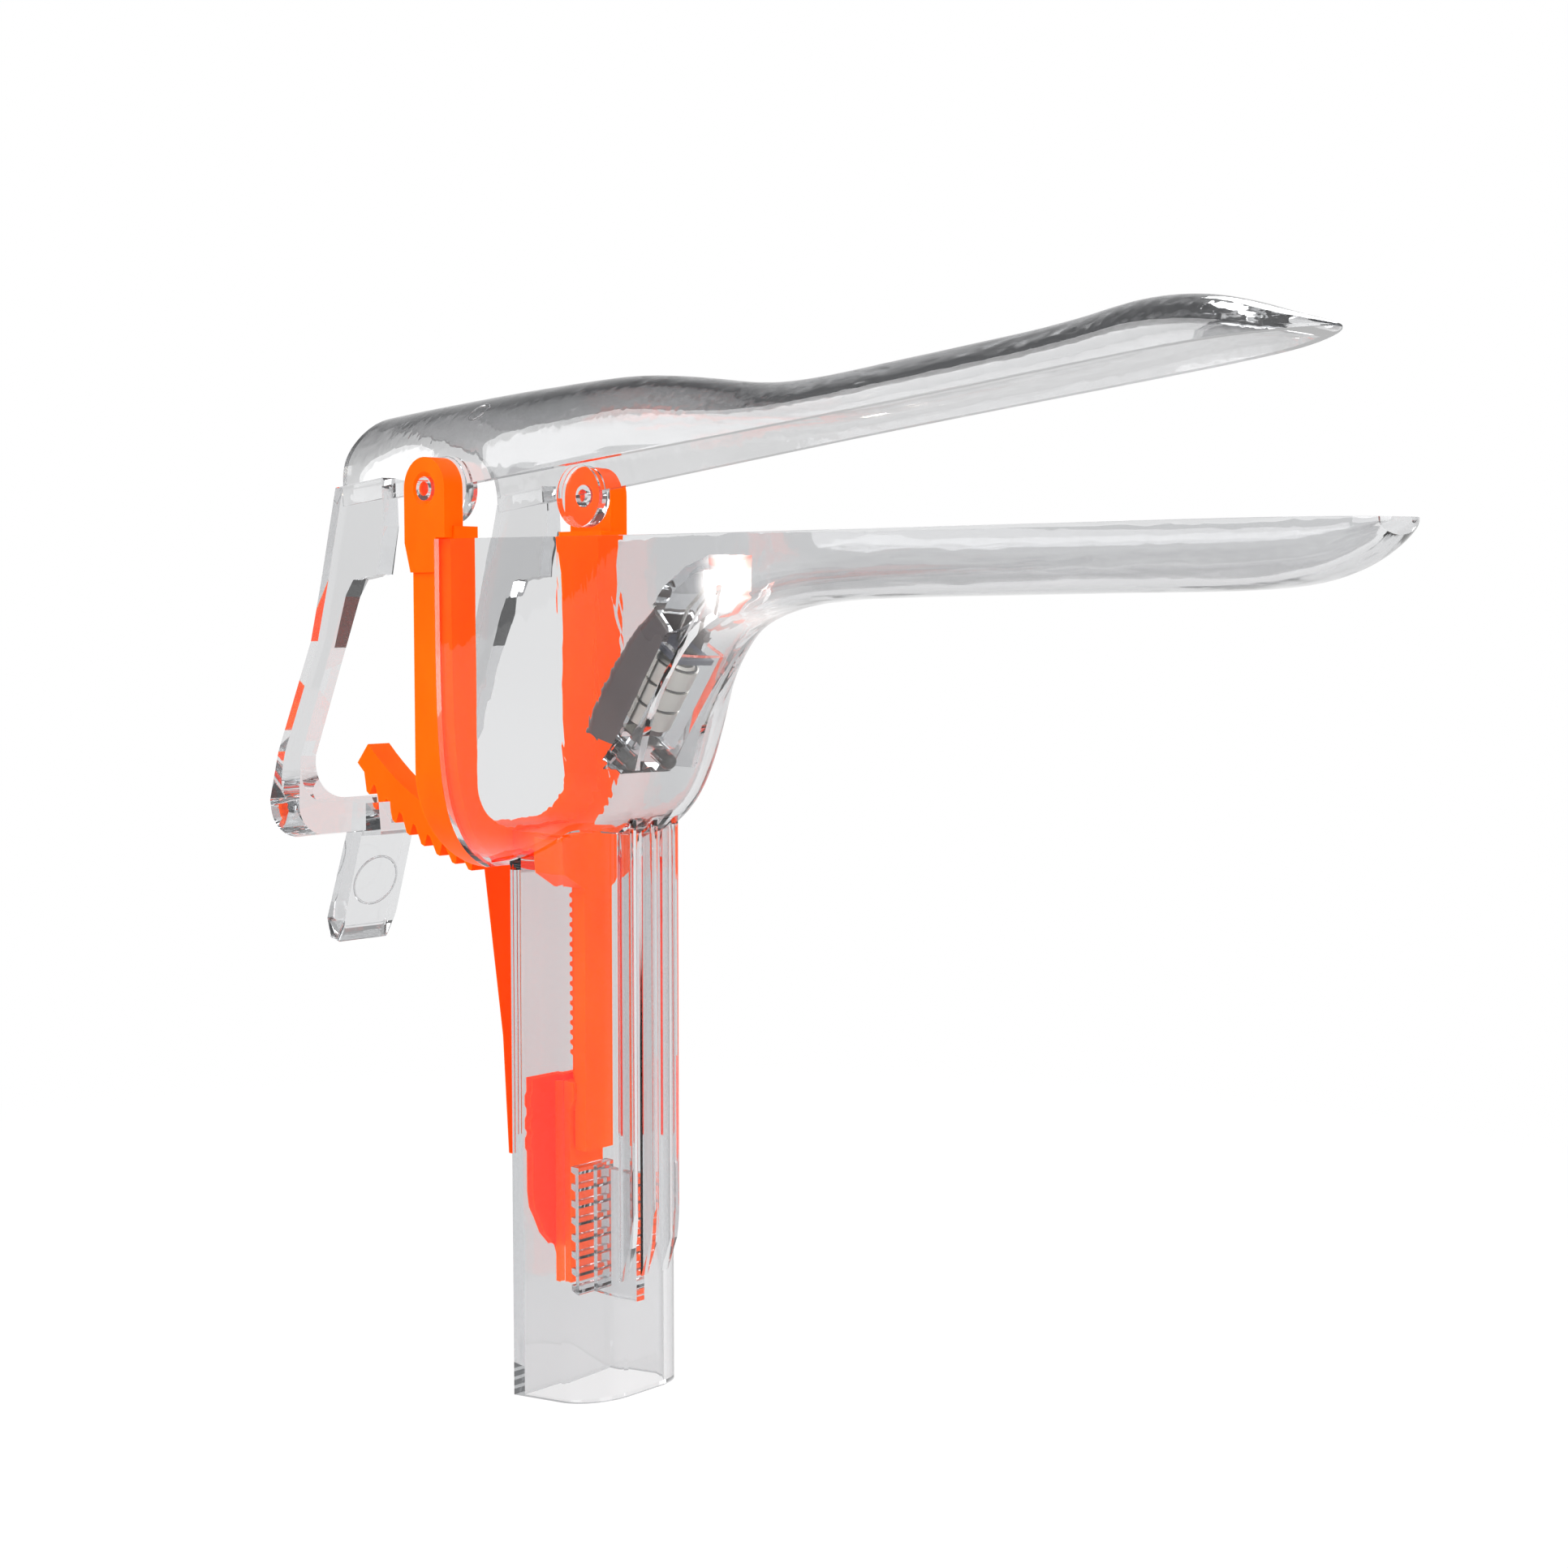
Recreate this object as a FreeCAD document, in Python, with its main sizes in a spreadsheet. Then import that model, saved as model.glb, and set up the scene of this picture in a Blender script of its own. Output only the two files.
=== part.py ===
"""A clear plastic bivalve speculum with an orange yoke and a battery lamp.

Millimetres. The origin is the middle of the pivot axis. X runs forward to the blade tips,
Y runs across the blades and Z is up. The handle hangs down from the lower blade.
"""
import FreeCAD, Part
import math
import os
import re
import Sketcher

Vector = FreeCAD.Vector

SIZES = [
    ("wall", 1.8, "wall of the clear mouldings"),
    ("run_gap", 0.3, "gap between pieces that move on each other"),
    ("pin_radius", 2.0, "pivot pin"),
    ("pin_gap", 0.05, "gap round the pivot pin"),
    ("pin_bore", 1.2, "blind bore in the pivot pin"),
    ("rim_drop", 8.5, "pivot axis down to the rim of the lower blade"),
    ("blade_reach", 171.0, "pivot axis to the tip of the lower blade"),
    ("blade_half", 13.2, "half width of the lower blade"),
    ("blade_depth", 9.8, "rim to the keel of the lower blade"),
    ("apron_rear", 3.3, "rear edge of the apron"),
    ("apron_half", 21.6, "half width of the apron"),
    ("apron_depth", 57.5, "rim to the floor of the apron"),
    ("handle_rear", 10.5, "rear wall of the handle"),
    ("handle_front", 30.6, "front wall of the handle"),
    ("handle_half", 11.8, "half width of the handle"),
    ("handle_low", 155.3, "pivot axis down to the end of the handle"),
    ("handle_slant", 2.2, "rise of the handle's end from rear to front"),
    ("handle_corner", 8.0, "front corners of the handle"),
    ("fin_proud", 3.2, "height of the handle's fins"),
    ("fin_thick", 1.6, "thickness of the fins"),
    ("fin_pitch", 4.85, "spacing of the fins"),
    ("fin_count", 3, "number of fins"),
    ("fin_low", 133.0, "pivot axis down to the end of the fins"),
    ("fin_fade", 12.0, "length over which a fin fades out"),
    ("ladder_rear", 17.0, "rear faces of the ladder's rungs"),
    ("ladder_half", 4.5, "half width of the ladder"),
    ("ladder_top", 115.5, "pivot axis down to the top of the ladder"),
    ("rung_pitch", 2.95, "spacing of the rungs"),
    ("rung_high", 1.4, "height of a rung"),
    ("rung_proud", 1.2, "how far a rung stands out"),
    ("rung_count", 8, "number of rungs"),
    ("ear_half", 21.0, "outer faces of the yoke's ears"),
    ("ear_thick", 4.0, "thickness of an ear"),
    ("ear_radius", 5.3, "round top of an ear"),
    ("ear_sink", 0.8, "countersink of the ear's hole"),
    ("arm_rear", 3.8, "rear of the yoke's arms behind the pivot axis"),
    ("arm_front", 5.8, "front of the yoke's arms"),
    ("arm_inner", 14.2, "inner faces of the yoke's arms"),
    ("arm_outer", 19.3, "outer faces of the arms inside the apron"),
    ("flange_half", 20.4, "outer faces of the arms behind the apron"),
    ("shoulder_rise", 2.2, "yoke's inner shoulder above the rim"),
    ("bow_inner", 57.5, "pivot axis down to the yoke's bow, inside"),
    ("bow_outer", 63.8, "pivot axis down to the yoke's bow, inside the apron"),
    ("bow_flange", 65.6, "pivot axis down to the yoke's bow, behind the apron"),
    ("bow_radius", 8.0, "inner corners of the bow"),
    ("ratchet_inner", 60.4, "inner radius of the ratchet arm about the pivot"),
    ("ratchet_root", 65.2, "root radius of the ratchet's teeth"),
    ("ratchet_tip", 67.6, "tip radius of the ratchet's teeth"),
    ("ratchet_half", 2.5, "half thickness of the ratchet arm"),
    ("ratchet_end", 41.5, "angle of the ratchet arm's free end"),
    ("tooth_first", 9.0, "angle of the first ratchet tooth"),
    ("tooth_pitch", 3.87, "angle between ratchet teeth"),
    ("tooth_count", 8, "number of ratchet teeth"),
    ("stem_rear", 17.0, "rear of the stem's front slab"),
    ("stem_front", 20.0, "front face of the stem"),
    ("stem_half", 3.5, "half width of the stem"),
    ("stem_low", 112.6, "pivot axis down to the end of the stem"),
    ("rack_rear", 14.4, "root of the stem's rack"),
    ("rack_half", 1.8, "half width of the rack"),
    ("rack_top", 68.5, "pivot axis down to the first rack tooth"),
    ("rack_pitch", 1.7, "spacing of the rack's teeth"),
    ("rack_tooth", 0.9, "height of a rack tooth"),
    ("rack_count", 17, "number of rack teeth"),
    ("latch_half", 4.2, "half width of the latch leaf"),
    ("latch_thick", 2.2, "thickness of the latch leaf"),
    ("latch_top", 101.0, "pivot axis down to the root of the latch leaf"),
    ("latch_low", 136.0, "pivot axis down to the toe of the latch leaf"),
    ("open_angle", 5.7, "the upper blade's angle as it stands"),
    ("upper_reach", 160.6, "pivot axis to the tip of the upper blade"),
    ("upper_half", 12.4, "half width of the upper blade"),
    ("upper_crown", 7.3, "edge to crown of the upper blade"),
    ("bell_half", 16.5, "half width of the upper blade between the ears"),
    ("bell_crown", 16.2, "edge to crown of the upper blade at the pivot"),
    ("bell_rear", 25.0, "rear edge of the upper blade behind the pivot axis"),
    ("edge_rise", 0.3, "edge of the upper blade above the pivot axis"),
    ("lug_radius", 5.6, "pivot lugs of the upper blade"),
    ("lug_thick", 2.6, "thickness of a pivot lug"),
    ("lever_half", 20.4, "outer faces of the lever frame"),
    ("lever_thick", 3.3, "thickness of the lever's arms"),
    ("lever_low", 57.3, "pivot axis down to the foot of the lever frame"),
    ("lever_bar", 6.7, "height of the lever's cross bar"),
    ("lever_corner", 9.0, "outer corners of the lever frame"),
    ("groove_deep", 1.1, "depth of the grooves in the lever's arms"),
    ("tab_half", 6.0, "half width of the thumb tab"),
    ("tab_long", 20.0, "length of the thumb tab below the cross bar"),
    ("lamp_x", 31.4, "foot of the cell stack, forward of the pivot axis"),
    ("lamp_z", 37.75, "foot of the cell stack below the pivot axis"),
    ("lamp_tilt", 34.5, "tilt of the lamp module"),
    ("cell_radius", 3.95, "radius of a button cell"),
    ("cell_high", 4.2, "height of a button cell"),
    ("cell_count", 3, "number of button cells"),
    ("can_wall", 0.3, "wall of a cell's can"),
    ("gasket_wall", 0.35, "wall of a cell's gasket"),
    ("cap_rise", 0.6, "cell cap above its can"),
    ("tray_half", 5.5, "half width of the lamp module"),
    ("tray_wall", 1.1, "wall of the lamp carrier"),
    ("cover_back", 6.8, "cell axis to the back of the lamp cover"),
    ("cover_wall", 1.2, "wall of the lamp cover"),
    ("post_radius", 1.4, "radius of the contact posts"),
    ("led_x", 49.0, "rear of the lamp's dome, forward of the pivot axis"),
    ("led_z", 15.6, "lamp axis below the pivot axis"),
    ("led_radius", 1.5, "radius of the lamp's dome"),
    ("led_long", 5.2, "length of the lamp"),
]

CURVE_STEPS = 240
SECTION_DEGREE = 3
WORDS_KEPT = ("sin", "cos", "tan", "sqrt", "max", "min")

doc = FreeCAD.newDocument("speculum")
sheet = doc.addObject("Spreadsheet::Sheet", "Sizes")
for row, (alias, value, meaning) in enumerate(SIZES, start=1):
    sheet.set(f"A{row}", meaning)
    sheet.set(f"B{row}", str(value))
    sheet.setAlias(f"B{row}", alias)
doc.recompute()


def formula(text):
    """Turn a formula over the sheet's names into a document expression."""
    def name(found):
        word = found.group(0)
        return word if word in WORDS_KEPT else "Sizes." + word
    return re.sub(r"[a-z][a-z_]*", name, str(text))


def number(text):
    """Value of a formula now."""
    result = doc.Sizes.evalExpression(formula(text).replace("Sizes.", ""))
    return float(getattr(result, "Value", result))


def bind(thing, **fields):
    """Bind properties of a document object to formulas."""
    for field, text in fields.items():
        thing.setExpression(field.replace("__", "."), formula(text))


def plane(body, role):
    return next(item for item in body.Origin.OriginFeatures if item.Role == role)


def new_body(label):
    body = doc.addObject("PartDesign::Body", label + "_body")
    body.Label = label + " body"
    return body


def new_sketch(body, name, role, offset):
    sketch = body.newObject("Sketcher::SketchObject", name)
    sketch.AttachmentSupport = [(plane(body, role), "")]
    sketch.MapMode = "FlatFace"
    bind(sketch, AttachmentOffset__Base__z=offset)
    return sketch


def outline(body, name, role, corners, offset="0"):
    """Closed outline of straight lines through corners, each a pair of formulas."""
    sketch = new_sketch(body, name, role, offset)
    points = [Vector(number(a), number(b), 0) for a, b in corners]
    total = len(points)
    for index, point in enumerate(points):
        sketch.addGeometry(Part.LineSegment(point, points[(index + 1) % total]))
    for index in range(total):
        sketch.addConstraint(Sketcher.Constraint("Coincident", index, 2, (index + 1) % total, 1))
    for index, corner in enumerate(corners):
        for kind, text in zip(("DistanceX", "DistanceY"), corner):
            place = Sketcher.Constraint(kind, -1, 1, index, 1, number(text))
            place_index = sketch.addConstraint(place)
            sketch.setExpression(f"Constraints[{place_index}]", formula(text))
    return sketch


def disc(body, name, role, centre, radius, offset="0"):
    """Circle sketch with its centre and radius bound to formulas."""
    sketch = new_sketch(body, name, role, offset)
    middle = Vector(number(centre[0]), number(centre[1]), 0)
    sketch.addGeometry(Part.Circle(middle, Vector(0, 0, 1), number(radius)))
    for kind, text in zip(("DistanceX", "DistanceY"), centre):
        place = sketch.addConstraint(Sketcher.Constraint(kind, -1, 1, 0, 3, number(text)))
        sketch.setExpression(f"Constraints[{place}]", formula(text))
    size = sketch.addConstraint(Sketcher.Constraint("Radius", 0, number(radius)))
    sketch.setExpression(f"Constraints[{size}]", formula(radius))
    return sketch


def extrude(body, name, sketch, length, kind="Pad", both=False, back=False):
    """Pad or pocket a sketch by a formula, to one side or to both."""
    feature = body.newObject("PartDesign::" + kind, name)
    feature.Profile = sketch
    feature.SideType = "Symmetric" if both else "One side"
    feature.Reversed = back
    bind(feature, Length=length)
    doc.recompute()
    return feature


def turn(body, name, sketch, angle, kind="Revolution", axis="Y_Axis", back=False):
    """Revolve a sketch about one of the body's axes."""
    feature = body.newObject("PartDesign::" + kind, name)
    feature.Profile = sketch
    feature.ReferenceAxis = (plane(body, axis), [""])
    feature.Reversed = back
    bind(feature, Angle=angle)
    doc.recompute()
    return feature


def dress(body, name, size, chosen, kind="Fillet"):
    """Fillet or chamfer the edges of the body that chosen picks by their middle."""
    base = body.Tip
    names = []
    for index, edge in enumerate(base.Shape.Edges, start=1):
        middle = edge.valueAt((edge.FirstParameter + edge.LastParameter) / 2)
        if chosen(edge, middle):
            names.append(f"Edge{index}")
    feature = body.newObject("PartDesign::" + kind, name)
    feature.Base = (base, names)
    bind(feature, **{"Radius" if kind == "Fillet" else "Size": size})
    doc.recompute()
    return feature


def along(edge, direction):
    """True for a straight edge that runs in a direction."""
    if edge.Curve.TypeId != "Part::GeomLine":
        return False
    return abs(edge.tangentAt(edge.FirstParameter).dot(direction)) > 0.999


def row_of(body, name, features, axis, length, count):
    """Repeat features in a straight row along one of the body's axes."""
    pattern = body.newObject("PartDesign::LinearPattern", name)
    pattern.Originals = features
    pattern.Direction = (plane(body, axis), [""])
    bind(pattern, Length=length, Occurrences=count)
    body.Tip = pattern
    doc.recompute()
    return pattern


def joined(kind, name, parts):
    result = doc.addObject("Part::" + kind, name)
    result.Shapes = parts
    result.Refine = True
    doc.recompute()
    return result


def cut(name, base, tool):
    result = doc.addObject("Part::Cut", name)
    result.Base = base
    result.Tool = tool
    result.Refine = True
    doc.recompute()
    return result


def node(thing, label):
    thing.Label = label
    NODES.append(thing)
    return thing


NODES = []
ACROSS = Vector(0, 1, 0)
FORWARD = Vector(1, 0, 0)


# Curved shells of the two blades

def smooth(points):
    """Samples of a curve through points that run forward, as (forward, out) vectors."""
    curve = Part.BSplineCurve()
    curve.interpolate([Vector(x, y, 0) for x, y in points])
    first = curve.FirstParameter
    step = (curve.LastParameter - first) / CURVE_STEPS
    return [curve.value(first + step * index) for index in range(CURVE_STEPS + 1)]


def inset(samples, gap):
    """The same curve moved inwards by a gap, at right angles to itself."""
    moved = []
    for before, here, after in zip(samples, samples[1:], samples[2:]):
        direction = (after - before).normalize()
        point = here + Vector(direction.y, -direction.x, 0) * gap
        if not moved or point.x > moved[-1].x:
            moved.append(point)
    return moved


def out_at(samples, x):
    """How far out a sampled curve is at x."""
    for near, far in zip(samples, samples[1:]):
        if x <= far.x:
            share = max(0.0, (x - near.x) / (far.x - near.x))
            return near.y + (far.y - near.y) * share
    return samples[-1].y


def trough_section(x, rim, side, lid, width, hip, depth):
    """Control points of a round-bottomed U across the blade at x; its ends are at the lid.

    side is -1 for a trough that opens upwards and 1 for one that opens downwards.
    """
    hip = min(hip, width)
    knee = max(depth * 0.5, depth - hip * 0.42)
    half = [(width, -lid), (width, knee * 0.5), (hip, knee), (hip * 0.5, depth)]
    poles = half + [(0, depth)] + [(-y, z) for y, z in reversed(half)]
    return [Vector(x, y, rim + side * z) for y, z in poles]


def knots_for(count):
    """Knots and multiplicities of a clamped curve with this many control points."""
    inside = count - SECTION_DEGREE - 1
    ends = SECTION_DEGREE + 1
    return list(range(inside + 2)), [ends] + [1] * inside + [ends]


def flat_face(edges):
    return Part.Face(Part.Wire(Part.__sortEdges__(edges)))


def trough(stations, rim, side, lid, widths, hips, depths):
    """Solid with one smooth surface along the stations' U sections, a flat lid and flat ends."""
    rows = []
    for x in stations:
        sizes = [out_at(samples, x) for samples in (widths, hips, depths)]
        rows.append(trough_section(x, rim, side, lid, *sizes))
    knots, mults = knots_for(len(rows))
    across_knots, across_mults = knots_for(len(rows[0]))
    skin = Part.BSplineSurface()
    skin.buildFromPolesMultsKnots(rows, mults, across_mults, knots, across_knots, False, False,
                                  SECTION_DEGREE, SECTION_DEGREE)
    ends = [skin.uIso(knots[0]), skin.uIso(knots[-1])]
    rims = [skin.vIso(across_knots[0]).toShape(), skin.vIso(across_knots[-1]).toShape()]
    faces = [skin.toShape()]
    closing = []
    for end in ends:
        line = Part.LineSegment(end.StartPoint, end.EndPoint).toShape()
        closing.append(line)
        faces.append(flat_face([end.toShape(), line]))
    faces.append(flat_face(rims + closing))
    shell = Part.Shell(faces)
    shell.sewShape()
    solid = Part.Solid(Part.Shell(shell.Faces))
    if solid.Volume < 0:
        solid.reverse()
    return solid


def shell_pair(label, stations, rear, rim, side, curves, gap):
    """Outer and inner solids of a blade; the inner one runs out at the rear and rim."""
    outer = trough(stations, rim, side, 0, *curves)
    inner_curves = [inset(samples, gap) for samples in curves]
    deep = [point.x for point in inner_curves[2] if point.y > gap / 4]
    last = min(inner_curves[0][-1].x, deep[-1])
    inner_stations = [rear - gap] + [x for x in stations if x < last - gap / 2] + [last - gap / 4]
    inner = trough(inner_stations, rim, side, gap, *inner_curves)
    pair = []
    for name, shape in (("outer", outer), ("inner", inner)):
        thing = doc.addObject("Part::Feature", f"{label}_{name}")
        thing.Shape = shape
        pair.append(thing)
    return pair


def tip_points(reach, half, drops):
    """Points of a blade's rounded tip, as shares of the half width at steps back from it."""
    return [(reach - back, half * share) for back, share in drops]


# Lower blade

def lower_curves():
    """Half width at the rim, half width at the hips and depth of the lower blade, along X."""
    rear, reach = number("apron_rear"), number("blade_reach")
    front, depth = number("handle_front"), number("blade_depth")
    apron, half = number("apron_half"), number("blade_half")
    floor = number("apron_depth")
    narrowing = [(6, 0.04), (13, 0.14), (21, 0.32), (29, 0.50), (37, 0.64), (47, 0.79),
                 (59, 0.89), (73, 0.95), (97, 0.99), (127, 1.0)]
    widths = [(rear, apron)]
    widths += [(rear + ahead, apron + (half - apron) * share) for ahead, share in narrowing]
    tip = [(21, 0.98), (13, 0.90), (8, 0.76), (4, 0.55), (1.2, 0.29), (0, 0.07)]
    widths += tip_points(reach, half, tip)
    pinch = [(6, 0.06), (13, 0.27), (21, 0.56), (29, 0.86), (37, 1.04), (47, 1.09),
             (59, 1.05), (73, 1.02), (97, 1.0), (127, 1.0)]
    hips = [(rear, apron)]
    hips += [(rear + ahead, apron + (half - apron) * share) for ahead, share in pinch]
    hips += tip_points(reach, half, tip)
    depths = [(rear, floor), (rear + 8.7, floor - 1.2), (rear + 15.7, floor - 3.3)]
    depths += [(front - 4.6, floor - 6), (front + 0.9, floor - 8.8), (front + 4.6, floor - 12.4)]
    flare = [(7.0, 28.7), (8.4, 23.7), (10.6, 18.7), (13.6, 13.9), (17.0, 9.7), (21.2, 6.1),
             (27.4, 3.3), (35.4, 1.3), (45.4, 0.4), (69.4, 0.0)]
    depths += [(front + ahead, depth + below) for ahead, below in flare]
    depths += [(reach - 36, depth - 0.4), (reach - 19, depth - 0.8)]
    depths += [(reach - back, depth * share) for back, share in
               [(13, 0.83), (8, 0.65), (4, 0.41), (1.2, 0.18), (0, 0.05)]]
    return [smooth(points) for points in (widths, hips, depths)]


def lower_stations():
    rear, front, reach = number("apron_rear"), number("handle_front"), number("blade_reach")
    ahead = [(front - rear) * share for share in (0, 0.2, 0.4, 0.6, 0.8, 0.92)]
    stations = [rear + step for step in ahead]
    stations += [front + step for step in (1, 3.2, 5.2, 7, 9, 11.5, 14.5, 18, 22, 28, 36, 46, 62)]
    stations += [reach - back for back in (62, 42, 28, 20, 14, 9.5, 6, 3.4, 1.6, 0.6, 0)]
    return stations


def handle_body(label, gap, low_extra):
    """Solid of the handle, moved inwards by a gap and run out below by low_extra."""
    body = new_body(label)
    rear, front = f"handle_rear + {gap}", f"handle_front - ({gap})"
    low = f"-handle_low - ({low_extra})"
    top = "-(rim_drop + apron_depth - 11)"
    side = outline(body, label + "_side", "XZ_Plane", [
        (rear, top), (front, top), (front, low + " + handle_slant"), (rear, low)])
    extrude(body, label + "_pad", side, f"2 * (handle_half - ({gap}))", both=True)
    corner = number("handle_front") - number(gap)
    dress(body, label + "_corners", f"handle_corner - ({gap})",
          lambda edge, middle: along(edge, Vector(0, 0, 1)) and abs(middle.x - corner) < 0.01)
    return body


def fins_body():
    """The fins down the front of the handle; each fades into the wall at its lower end."""
    body = new_body("fins")
    crest = "handle_front + fin_proud"
    middle_fin = "-fin_pitch * (fin_count - 1) / 2"
    side = outline(body, "fin_side", "XZ_Plane", [
        ("handle_front - wall / 2", "-(rim_drop + apron_depth - 16)"),
        (crest, "-(rim_drop + apron_depth - 12)"),
        (crest, "-(fin_low - fin_fade)"),
        ("handle_front + fin_proud * 0.72", "-(fin_low - fin_fade * 0.5)"),
        ("handle_front", "-fin_low"),
        ("handle_front - wall / 2", "-fin_low")], offset="0")
    bind(side, AttachmentOffset__Base__z="-(" + middle_fin + ") - fin_thick / 2")
    fin = extrude(body, "fin", side, "fin_thick")
    row_of(body, "fin_row", [fin], "Y_Axis", "fin_pitch * (fin_count - 1)", "fin_count")
    dress(body, "fin_crests", "fin_thick * 0.4",
          lambda edge, middle: along(edge, Vector(0, 0, 1)) and middle.x > number(crest) - 0.01)
    return body


def ladder_body():
    """The ladder inside the handle that the yoke's latch climbs, on a web to the front wall."""
    body = new_body("ladder")
    low = "-(ladder_top + rung_pitch * (rung_count - 1) + rung_high)"
    plate_rear = "ladder_rear + rung_proud"
    web = outline(body, "ladder_web_side", "XZ_Plane", [
        (plate_rear, "-ladder_top"), ("handle_front - wall / 2", "-ladder_top"),
        ("handle_front - wall / 2", low), (plate_rear, low)])
    extrude(body, "ladder_web", web, "wall", both=True)
    plate = outline(body, "ladder_plate_side", "XZ_Plane", [
        (plate_rear, "-ladder_top"), (plate_rear + " + wall / 2", "-ladder_top"),
        (plate_rear + " + wall / 2", low), (plate_rear, low)])
    extrude(body, "ladder_plate", plate, "2 * ladder_half", both=True)
    rung = outline(body, "rung_side", "XZ_Plane", [
        ("ladder_rear", "-ladder_top"), (plate_rear + " + wall / 4", "-ladder_top"),
        (plate_rear + " + wall / 4", "-(ladder_top + rung_high)"),
        ("ladder_rear", "-(ladder_top + rung_high * 0.7)")])
    first = extrude(body, "rung", rung, "2 * ladder_half", both=True)
    row = row_of(body, "rungs", [first], "Z_Axis", "rung_pitch * (rung_count - 1)", "rung_count")
    row.Reversed = True
    doc.recompute()
    return body


def rail_bodies():
    """Two rails inside the front of the apron that the lamp module stands between."""
    body = new_body("rails")
    reach = "lamp_x + 5"
    side = outline(body, "rail_side", "XZ_Plane", [
        ("lamp_x - 2.5", "-(lamp_z + 8.5)"), ("lamp_x + 14", "-(lamp_z + 8.5)"),
        ("lamp_x + 24", "-(lamp_z - 22)"), ("lamp_x + 18.5", "-(lamp_z - 17)"),
        ("lamp_x + 10.5", "-(lamp_z - 7)"), (reach, "-(lamp_z + 1)")])
    extrude(body, "rail_block", side, "2 * (tray_half + run_gap / 2 + wall * 0.7)", both=True)
    space = outline(body, "rail_space", "XZ_Plane", [
        ("lamp_x - 9", "-(lamp_z + 20)"), ("lamp_x + 40", "-(lamp_z + 20)"),
        ("lamp_x + 40", "-(lamp_z - 40)"), ("lamp_x - 9", "-(lamp_z - 40)")])
    extrude(body, "rail_gap", space, "2 * (tray_half + run_gap / 2)", kind="Pocket", both=True)
    return body


def build_lower_blade():
    curves = lower_curves()
    outer, inner = shell_pair("lower_shell", lower_stations(), number("apron_rear"),
                              -number("rim_drop"), -1, curves, number("wall"))
    shell_outside = joined("MultiFuse", "lower_outside", [outer, handle_body("handle", "0", "0"),
                                                          fins_body()])
    hollow = joined("MultiFuse", "lower_hollow", [inner, handle_body("handle_core", "wall", "wall")])
    shell = cut("lower_shell_cut", shell_outside, hollow)
    rails = joined("MultiCommon", "rails_in_shell", [rail_bodies(), outer])
    return node(joined("MultiFuse", "lower_blade_all", [shell, ladder_body(), rails]), "lower_blade")


build_lower_blade()


# Yoke

def u_ring(body, name, outer, low, inner, inner_low, top, rear, length):
    """U-shaped slab across the object, from rear forwards by length."""
    sketch = outline(body, name + "_front_view", "YZ_Plane", [
        (f"-({outer})", top), (f"-({outer})", f"-({low})"), (outer, f"-({low})"), (outer, top),
        (inner, top), (inner, f"-({inner_low})"), (f"-({inner})", f"-({inner_low})"),
        (f"-({inner})", top)], offset=rear)
    return extrude(body, name, sketch, length)


def at_corner(half, low):
    """Picks edges that run forwards at a lower corner of the U."""
    def chosen(edge, middle):
        across = abs(abs(middle.y) - number(half)) < 0.01
        return along(edge, FORWARD) and across and abs(middle.z + number(low)) < 0.01
    return chosen


def bow_body():
    """The part of the U frame that fills the apron's mouth, with a running gap all round."""
    body = new_body("bow")
    u_ring(body, "bow", "arm_outer", "bow_outer", "arm_inner", "bow_inner",
           "-(rim_drop - shoulder_rise)", "-arm_rear", "arm_front + arm_rear")
    dress(body, "bow_inside", "bow_radius", at_corner("arm_inner", "bow_inner"))
    dress(body, "bow_outside", "bow_radius + arm_outer - arm_inner",
          at_corner("arm_outer", "bow_outer"))
    space = number("wall + run_gap")
    curves = [inset(samples, space) for samples in lower_curves()]
    stations = [-3 * number("arm_rear")] + lower_stations()[:8]
    room = doc.addObject("Part::Feature", "apron_room")
    room.Shape = trough(stations, -number("rim_drop"), -1, number("rim_drop"), *curves)
    return joined("MultiCommon", "bow_in_apron", [body, room])


def yoke_flange(body):
    """The rim of the U frame, behind the apron's rear edge."""
    u_ring(body, "flange", "flange_half", "bow_flange", "arm_inner", "bow_inner",
           "-(rim_drop + 1)", "-arm_rear", "arm_rear + apron_rear - run_gap")
    dress(body, "flange_inside", "bow_radius", at_corner("arm_inner", "bow_inner"))
    dress(body, "flange_corners", "bow_radius + flange_half - arm_inner + 4",
          at_corner("flange_half", "bow_flange"))


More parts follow.
